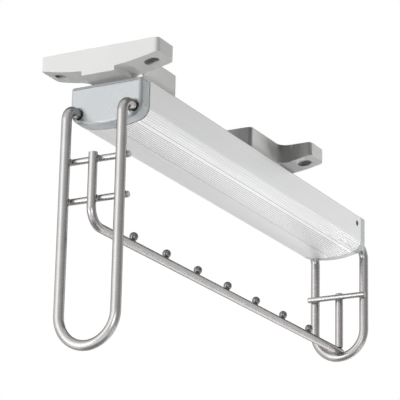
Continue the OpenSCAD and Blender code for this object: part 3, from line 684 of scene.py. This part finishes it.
hole_x, hole_y, bore_d, mouth_d = 40.0, 13.0, 5.5, 12.0
mouth_top, cone_h, far_below = -11.25, 3.25, -30.0
for side in (-1, 1):
    bore = rod("bore", (side * hole_x, hole_y, 1), (0, 0, far_below), bore_d)
    combine(bracket, done(bore))
    mouth = rod("mouth", (side * hole_x, hole_y, far_below), (0, 0, mouth_top - far_below),
        mouth_d, 40)
    edit(mouth)
    select_where(mouth, lambda u, v, w: w > mouth_top - 0.75, "FACE")
    push(0, 0, cone_h)
    bpy.ops.transform.resize(value=(bore_d / mouth_d, bore_d / mouth_d, 1))
    combine(bracket, done(mouth))
report(bracket)

# %% Round the edges and place both brackets
soften(bracket, edge_round, 3, 38)
edit(bracket)
bpy.ops.mesh.select_all(action="SELECT")
bpy.ops.transform.translate(value=mm(0, -face_y, 0))
done(bracket, 32)
report(bracket)

front_bracket = bracket
front_bracket.name = front_bracket.data.name = "front_shelf_bracket"
rear_bracket = copy_of(front_bracket, "rear_shelf_bracket")
edit(rear_bracket)
bpy.ops.mesh.select_all(action="SELECT")
bpy.ops.transform.rotate(value=math.pi, orient_axis="Z", center_override=(0, 0, 0))
done(rear_bracket)
for piece, cad in ((front_bracket, "front_bracket"), (rear_bracket, "rear_bracket")):
    paint(piece, white_plastic)
    piece.data.materials.append(painted_shade_holes.material)
    edit(piece)
    # The faces inside the screw holes take the grey painted shade.
    walls = paint_faces(piece, 1, lambda u, v, w: w < -edge_round - 0.15
        and math.hypot(abs(u) - hole_x, abs(v) - face_y + hole_y) < mouth_d / 2 + 0.2)
    done(piece)
    print("faces in the screw holes:", walls)
    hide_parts(cad)
    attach(piece, "mounting")

# %% [markdown]
# ## The ribbed cover
# The cover is one aluminium extrusion: a closed box below, an open channel above for the slide,
# and fine grooves on the right half of its slightly curved underside. An extrusion is drawn
# once as a section and pushed along, which is how it is made here too. The walls of the belly's
# grooves and the top lips take a darker painted shade, and the flat crests a lighter painted
# highlight.

# %% Draw the section of the cover
cover_w, cover_top, cover_low, wall_t = 63.2, -23.3, -57.8, 1.8
corner_r, belly_r = 10.0, 90.0
cover_front, cover_rear = -120.0, 268.5
belly_z = cover_low + belly_r
corner_x = cover_w / 2 - corner_r
corner_z = belly_z - math.sqrt((belly_r - corner_r) ** 2 - corner_x ** 2)
corner_turn = math.degrees(math.atan2(corner_x, belly_z - corner_z))
belly_len = belly_r * math.radians(corner_turn)
corner_len = corner_r * math.radians(90 - corner_turn)
web_top, web_low = -38.06, -39.86
screw_y, screw_z = 260.5, -31.0


def under_at(s, t):
    """A point at length s along the outline from its lowest line, t inside it."""
    if s <= belly_len:
        a, r, cx, cz = s / belly_r, belly_r - t, 0, belly_z
    else:
        a, r = math.radians(corner_turn) + (s - belly_len) / corner_r, corner_r - t
        cx, cz = corner_x, corner_z
    return (cx + r * math.sin(a), cz - r * math.cos(a))


rib_pitch, rib_d, corner_rib_d, groove_half = 2.0, 0.45, 0.3, 0.15
middle_d, middle_half = 0.3, 0.6


def rib_profile(s, d, steps):
    """Points across one groove and the rib after it: a sharp valley, then a broad flat crest.
    The steps and `groove_half` are shares of the pitch."""
    return [under_at(s + rib_pitch * k, d * max(0, 1 - min(k, 1 - k) / groove_half))
        for k in steps]


rib_steps = (0, groove_half, 0.5, 1 - groove_half)
middle_groove = [under_at(0, middle_d), under_at(middle_half, middle_d), under_at(0.85, 0.03)]
ribbed = middle_groove + rib_profile(0, rib_d, rib_steps[2:])
for i in range(1, int((belly_len + corner_len) / rib_pitch)):
    s = rib_pitch * i
    ribbed += rib_profile(s, rib_d if s < belly_len - 3 else corner_rib_d, rib_steps)
ribbed += [(cover_w / 2, corner_z)]
smooth_half = ([under_at(belly_len * i / 14, 0) for i in range(1, 15)]
    + [under_at(belly_len + corner_len * i / 12, 0) for i in range(1, 13)])
plain = mirrored(smooth_half) + mirrored(middle_groove)[:-1]
lip = 0.85
right_wall = (arc(cover_w / 2 - lip, cover_top - lip, lip, 0, 90, 3)
    + arc(cover_w / 2 - wall_t + lip, cover_top - lip, lip, 90, 180, 3)
    + arc(cover_w / 2 - wall_t - 0.8, web_top + 0.8, 0.8, 0, -90, 4))
outer = ribbed + right_wall + mirrored(right_wall) + plain
cavity_half = ([under_at(belly_len * i / 8, wall_t) for i in range(9)]
    + [under_at(belly_len + corner_len * i / 8, wall_t) for i in range(1, 9)]
    + arc(cover_w / 2 - wall_t - 0.8, web_low - 0.8, 0.8, 0, 90, 4))
cavity = cavity_half + mirrored(cavity_half)[:-1]
print("points in the section:", len(outer), "+", len(cavity))

# %% Push the section along to make the cover
cover = draw("ribbed_cover", outer, lambda u, v: (u, cover_front, v))
bpy.ops.mesh.delete(type="ONLY_FACE")
done(cover)
inside = draw("cavity", cavity, lambda u, v: (u, cover_front, v))
bpy.ops.mesh.delete(type="ONLY_FACE")
done(inside)
take(cover)
inside.select_set(True)
bpy.ops.object.join()
edit(cover)
bpy.ops.mesh.select_all(action="SELECT")
bpy.ops.mesh.fill(use_beauty=True)
bpy.ops.mesh.select_all(action="SELECT")
push(0, cover_rear - cover_front, 0)
face_out()
done(cover)
for side in (-1, 1):
    hole = rod("hole", (side * 27, screw_y, screw_z), (side * 8, 0, 0), 5.0)
    combine(cover, done(hole))
done(cover, 36)
report(cover)
paint(cover, aluminium)


def depth_under(x, z):
    """How far a point lies inside the cover's rounded underside."""
    if x > corner_x and z < corner_z:
        return corner_r - math.hypot(x - corner_x, z - corner_z)
    return belly_r - math.hypot(x, z - belly_z)


cover.data.materials.append(painted_shade_grooves.material)
cover.data.materials.append(painted_highlight_crests.material)
edit(cover)
# All faces of the ribbed belly, the middle groove among them, first take the darker painted shade;
# the flat crests then take the lighter painted highlight.
shaded_rib_faces = paint_faces(cover, 1, lambda u, v, w: -0.01 < u < corner_x + 3
    and w < corner_z + 1 and depth_under(u, w) < wall_t - 0.6)
crests = paint_faces(cover, 2, lambda u, v, w: 0.9 < u < cover_w / 2 - 0.2
    and w < corner_z + 1 and depth_under(u, w) < 0.1)
# The outer rounds of the top lips take the painted shade too: a dark line along the top edges.
paint_faces(cover, 1, lambda u, v, w: abs(u) > cover_w / 2 - lip - 0.01
    and w > cover_top - lip - 0.01)
done(cover)
print("faces of the ribbed part:", shaded_rib_faces, "of these crests:", crests)
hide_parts("cover_profile")
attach(cover, "carriage")

# %% [markdown]
# ## The end caps
# Both caps follow the cover's outline without its grooves. The front one is thick, with broad
# rounded edges and two recessed holes that the handle wires enter. The rear one is thinner and
# open in the middle, so that it can pass over the rear bracket's stem when the rail slides out.

# %% Model the front cap
def cap_outline(top, t=0.0, top_r=0.0):
    """The cover's outline without its grooves, t inside it, with sharp or rounded top corners."""
    half = ([under_at(belly_len * i / 12, t) for i in range(13)]
        + [under_at(belly_len + corner_len * i / 12, t) for i in range(1, 13)])
    if top_r:
        half += arc(cover_w / 2 - t - top_r, top - top_r, top_r, 0, 90, 6)
    else:
        half += [(cover_w / 2 - t, top)]
    return half + mirrored(half)[:-1]


handle_x, stub_z = 24.5, -47.0
cap_face, cap_top = -133.5, -24.0
seam, clearance, plug_l, recess_d = 1.3, 0.05, 12.0, 10.4
plug_outline = cap_outline(web_low - 0.1, wall_t + 0.1)
front_cap = draw("front_end_cap", cap_outline(cap_top, top_r=2.5),
    lambda u, v: (u, cover_front - seam, v))
push(0, cap_face - cover_front + seam, 0)
face_out()
select_where(front_cap, lambda u, v, w: v < cap_face + 0.01, "EDGE")
bpy.ops.mesh.bevel(offset=mm(3), segments=7, profile=0.5, affect="EDGES", clamp_overlap=False)
done(front_cap)
shell, hollow_half = 2.5, 29.1
hollow = block("hollow", (-hollow_half, cap_face + shell, web_low + 1),
    (hollow_half, cover_front + 1, cap_top - shell))
combine(front_cap, done(hollow))
for side in (-1, 1):
    recess = rod("recess", (side * handle_x, cap_face - 1, stub_z), (0, 4, 0), recess_d, 40)
    combine(front_cap, done(recess))
plug = draw("plug", plug_outline, lambda u, v: (u, cover_front - clearance, v))
push(0, plug_l + clearance, 0)
face_out()
done(plug)
take(front_cap)
plug.select_set(True)
bpy.ops.object.join()
soften(front_cap, 0.5, 3, 50)
done(front_cap, 32)
report(front_cap)
paint(front_cap, cap_plastic)
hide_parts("front_cap")
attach(front_cap, "carriage")

# %% Model the rear cap
rear_start, rear_face = cover_rear + clearance, 278.5
lug_in, lug_out, lug_start, lug_top = 25.5, 29.7, 251.5, -25.0
notch_half, notch_low = 26.0, -38.86
rear_cap = draw("rear_end_cap", cap_outline(cover_top), lambda u, v: (u, rear_start, v))
push(0, rear_face - rear_start, 0)
face_out()
select_where(rear_cap, lambda u, v, w: v > rear_face - 0.01, "EDGE")
bpy.ops.mesh.bevel(offset=mm(2), segments=6, profile=0.5, affect="EDGES", clamp_overlap=False)
done(rear_cap)
plug = draw("plug", plug_outline, lambda u, v: (u, cover_rear - plug_l, v))
push(0, plug_l + 1, 0)
face_out()
combine(rear_cap, done(plug), "UNION")
for side in (-1, 1):
    x0, x1 = sorted((side * lug_in, side * lug_out))
    lug = block("lug", (x0, lug_start, web_top + 0.1), (x1, 270, lug_top))
    combine(rear_cap, done(lug), "UNION")
notch = block("notch", (-notch_half, 240, notch_low), (notch_half, 290, -10))
combine(rear_cap, done(notch))
for side in (-1, 1):
    recess = rod("recess", (side * handle_x, rear_face + 1, stub_z), (0, -4, 0), recess_d, 40)
    combine(rear_cap, done(recess))
soften(rear_cap, 0.4, 3, 50)
done(rear_cap, 32)
report(rear_cap)
paint(rear_cap, cap_plastic)
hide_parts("rear_cap")
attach(rear_cap, "carriage")

# %% [markdown]
# ## The wire handles
# Each handle is one bent wire. A filled circle is extruded where the wire is straight and spun
# where it bends, as the wire itself goes through a bending machine. Spin turns clockwise about
# its axis, so a bend towards the viewer's other side takes a negative angle.

# %% Bend the handles
wire_d, ring_r, top_bend = 8.0, 24.5, 10.0
rear_wire_y, rear_low = 290.5, -146.7


def bend(angle, centre, axis, steps):
    """Spins what is selected round a centre in millimetres, by an angle in degrees."""
    bpy.ops.mesh.spin(steps=steps, angle=math.radians(angle), center=mm(*centre), axis=axis)


def bend_handle(name, wire_y, stub_y, low_z):
    """A handle in the plane y = wire_y, with its stubs running to stub_y in the caps."""
    way = 1 if stub_y > wire_y else -1
    ring_z = low_z + ring_r
    wire = disc(name, (-handle_x, stub_y, stub_z), wire_d, 36, (math.pi / 2, 0, 0))
    straight = wire_y + way * top_bend
    push(0, straight - stub_y, 0)
    bend(-90 * way, (-handle_x, straight, stub_z - top_bend), (1, 0, 0), 14)
    push(0, 0, ring_z - stub_z + top_bend)
    bend(180, (0, wire_y, ring_z), (0, 1, 0), 40)
    push(0, 0, stub_z - top_bend - ring_z)
    bend(90 * way, (handle_x, straight, stub_z - top_bend), (1, 0, 0), 14)
    push(0, stub_y - straight, 0)
    face_out()
    done(wire, 40)
    report(wire)
    return wire


front_handle = bend_handle("front_wire_handle", -148.5, -110.0, -235.0)
rear_handle = bend_handle("rear_wire_handle", rear_wire_y, 258.5, rear_low)
for piece, cad in ((front_handle, "front_handle"), (rear_handle, "rear_handle")):
    low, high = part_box(cad)
    span = [v.co for v in piece.data.vertices]
    print(cad, "CAD z", round(low.z * 1000, 1), "mesh z", round(min(c.z for c in span) * 1000, 1),
        "x", round(max(c.x for c in span) * 1000, 1), "y", round(min(c.y for c in span) * 1000, 1))
    paint(piece, wire_steel)
    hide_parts(cad)
    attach(piece, "carriage")

# %% [markdown]
# ## The hanger bar and the rods
# The bar starts as an upright between the front rods, bends forward to run under the whole
# cover, and ends on the rear handle's lowest point, where a hollow cut into it fits the wire.

# %% Bend the bar, and cut its seat for the rear handle
bar_d, bar_z, bar_bend = 7.0, -141.5, 14.0
bar_y, bar_end, bar_head = -148.0, 293.5, -85.7
bar = disc("hanging_bar", (0, bar_y, bar_head), bar_d, 36)
push(0, 0, bar_z + bar_bend - bar_head)
bend(-90, (0, bar_y + bar_bend, bar_z + bar_bend), (1, 0, 0), 16)
push(0, bar_end - bar_y - bar_bend, 0)
face_out()
done(bar)
bpy.ops.object.select_all(action="DESELECT")
bpy.ops.mesh.primitive_torus_add(major_radius=mm(ring_r), minor_radius=mm(wire_d / 2 + clearance),
    major_segments=72, minor_segments=28, location=mm(0, rear_wire_y, rear_low + ring_r),
    rotation=(math.pi / 2, 0, 0))
seat = bpy.context.object
combine(bar, done(seat))
soften(bar, 0.8, 3, 60)
done(bar, 40)
report(bar)

# %% Make the rear upright and the three cross rods
upright_low, upright_top = -137.9, -86.7
upright = rod("rear_bar_upright", (0, 290.0, upright_low), (0, 0, upright_top - upright_low),
    bar_d, 36)
soften(upright, 0.8, 3, 60)
done(upright, 40)
report(upright)
rod_d, rod_l = 5.0, 57.0
front_rods_y, rear_rod_y = -141.95, 283.95
upper_z, lower_z, rear_z = -89.0, -120.6, -91.7
rods = []
for name, y, z in (("upper_cross_rod", front_rods_y, upper_z),
        ("lower_cross_rod", front_rods_y, lower_z), ("rear_cross_rod", rear_rod_y, rear_z)):
    piece = rod(name, (-rod_l / 2, y, z), (rod_l, 0, 0), rod_d)
    soften(piece, 0.5, 3, 60)
    rods.append(done(piece, 40))
for piece, cad in ((bar, "hanger_bar"), (upright, "rear_upright"), (rods[0], "front_upper_rod"),
        (rods[1], "front_lower_rod"), (rods[2], "rear_rod")):
    paint(piece, wire_steel)
    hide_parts(cad)
    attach(piece, "carriage")

# %% [markdown]
# ## The weld beads
# Where a rod crosses a leg or the bar, a spot weld squeezes out a small dark bead. A squashed
# ring round the contact, with its points shaken a little, looks like one. Each bead gets its own
# shake, so no two are alike.

# %% Lay the weld beads
bead_r, bead_tube_r, bead_shake = 2.9, 1.0, 0.22
front_weld_y, rear_weld_y = -144.4, 286.4


def weld(name, x, y, z, seed):
    """A bead round the contact of two crossing wires, squashed a little and shaken."""
    bpy.ops.object.select_all(action="DESELECT")
    bpy.ops.mesh.primitive_torus_add(major_radius=mm(bead_r), minor_radius=mm(bead_tube_r),
        major_segments=28, minor_segments=10, location=mm(x, y, z), rotation=(math.pi / 2, 0, 0))
    bead = bpy.context.object
    bead.name = bead.data.name = name
    bpy.ops.object.mode_set(mode="EDIT")
    bpy.ops.transform.resize(value=(1.0, 0.95, 0.8))
    bpy.ops.transform.vertex_random(offset=mm(bead_shake), seed=seed)
    face_out()
    done(bead)
    bpy.ops.object.modifier_add(type="SUBSURF")
    bead.modifiers[-1].levels = bead.modifiers[-1].render_levels = 1
    bpy.ops.object.modifier_apply(modifier=bead.modifiers[-1].name)
    done(bead, 60)
    paint(bead, weld_steel)
    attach(bead, "carriage")
    return bead


beads = []
for y, z in ((front_weld_y, upper_z), (front_weld_y, lower_z), (rear_weld_y, rear_z)):
    for x in (-handle_x, 0, handle_x):
        beads.append(weld(f"weld_bead_{len(beads) + 1}", x, y, z, len(beads)))
print("weld beads:", len(beads))
report(beads[0])

# %% [markdown]
# ## The ball pegs
# Seven small balls stand on the bar and keep the hangers apart. One is drawn as a half profile
# with a short neck that flares where it is welded on, spun once round, and then copied.

# %% Spin one peg and copy it along the bar
ball_r, ball_z, bar_top = 3.5, -134.45, -138.0
peg_count, peg_pitch, pegs_middle = 7, 51.8, 71
profile = [(0, bar_top - 1.6), (1.5, bar_top - 1.6), (1.9, bar_top - 0.35), (1.75, bar_top + 0.1)]
profile += [(ball_r * math.cos(a), ball_z + ball_r * math.sin(a))
    for a in (math.radians(-60 + 150 * i / 14) for i in range(14))] + [(0, ball_z + ball_r)]
corners = [mm(u, 0, v) for u, v in profile]
peg = start_point("ball_peg_1", corners[0])
trace(corners)
bpy.ops.mesh.select_all(action="SELECT")
bpy.ops.mesh.spin(steps=28, angle=2 * math.pi, center=(0, 0, 0), axis=(0, 0, 1))
bpy.ops.mesh.select_all(action="SELECT")
bpy.ops.mesh.remove_doubles(threshold=mm(0.005))
face_out()
done(peg, 50)
report(peg)
pegs = [peg] + [copy_of(peg, f"ball_peg_{i + 1}") for i in range(1, peg_count)]
for i, piece in enumerate(pegs):
    edit(piece)
    bpy.ops.mesh.select_all(action="SELECT")
    bpy.ops.transform.translate(value=mm(0, pegs_middle + (i - peg_count // 2) * peg_pitch, 0))
    done(piece)
    paint(piece, peg_steel)
    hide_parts("hanger_pegs")
    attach(piece, "carriage")

# %% [markdown]
# ## The side screws
# A small black screw holds the rear cap in each side of the cover. Its head is flat with a
# six-sided socket, sunk in the hole.

# %% Model one side screw and mirror it
screw = rod("side_screw_right", (31.55, screw_y, screw_z), (-1.6, 0, 0), 4.8, 36)
edit(screw)
select_where(screw, lambda u, v, w: u < 30.0, "FACE")
bpy.ops.mesh.inset(thickness=mm(0.9))
push(-3.7, 0, 0)
done(screw)
socket = rod("socket", (32, screw_y, screw_z), (-1.35, 0, 0), 2.2, 6)
combine(screw, done(socket))
soften(screw, 0.2, 2, 40)
done(screw, 40)
report(screw)
other = copy_of(screw, "side_screw_left")
edit(other)
bpy.ops.mesh.select_all(action="SELECT")
bpy.ops.transform.resize(value=(-1, 1, 1), center_override=(0, 0, 0))
face_out()
done(other)
for piece in (screw, other):
    paint(piece, black_steel)
    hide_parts("rear_cap_screws")
    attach(piece, "carriage")

# %% [markdown]
# ## The slide inside
# The slide's rolled members, cages, balls and screws keep their CAD nodes, because their shapes
# are right. They only take their finishes.

# %% Finish the CAD nodes that stay
kept = (
    (zinc_steel, ("slide_outer_member", "slide_middle_member", "slide_inner_member")),
    (cage_plastic, ("outer_cage_left", "outer_cage_right", "inner_cage_left",
        "inner_cage_right")),
    (ball_steel, ("outer_balls_left", "outer_balls_right", "inner_balls_left",
        "inner_balls_right")),
    (screw_zinc, ("stem_screws", "carriage_screw_set")),
    (rubber, ("closing_buffer",)))
for finish, nodes in kept:
    for node in nodes:
        paint(frame["nodes"][node], finish)
    print(finish.material.name, "on", len(nodes), "CAD nodes")

# %% [markdown]
# ## The floor
# The rail hangs at the height of a wardrobe shelf, far above a plain pale floor. The camera of
# the photograph looks up, so the floor only shows in the views from above. It is drawn from one
# side only: from below it lets the light of the white studio through.

# %% Lay the floor
bpy.ops.object.select_all(action="DESELECT")
floor_size, floor_z = 60, -1.3
bpy.ops.mesh.primitive_plane_add(size=floor_size, location=(0, 0, floor_z))
floor = bpy.context.object
floor.name = floor.data.name = "floor"
ground = Finish("pale_floor", (0.9, 0.9, 0.9), 0.0, 0.9)
ground.tones(ground.noise(400, 3), (0.89, 0.89, 0.89), (0.91, 0.91, 0.91))
tree = ground.tree
light_path = tree.nodes.new("ShaderNodeLightPath")
geometry = tree.nodes.new("ShaderNodeNewGeometry")
dull = tree.nodes.new("ShaderNodeBsdfDiffuse")
dull.inputs["Color"].default_value = (0.04, 0.04, 0.04, 1)
through = tree.nodes.new("ShaderNodeBsdfTransparent")
first, second = tree.nodes.new("ShaderNodeMixShader"), tree.nodes.new("ShaderNodeMixShader")
link(tree, (light_path.outputs["Is Diffuse Ray"], first.inputs[0]),
    (ground.shader.outputs[0], first.inputs[1]),
    (dull.outputs[0], first.inputs[2]),
    (geometry.outputs["Backfacing"], second.inputs[0]),
    (first.outputs[0], second.inputs[1]),
    (through.outputs[0], second.inputs[2]),
    (second.outputs[0], tree.nodes["Material Output"].inputs[0]))
floor.data.materials.append(ground.material)
print("floor", floor_size, "m wide, at", floor_z, "m")
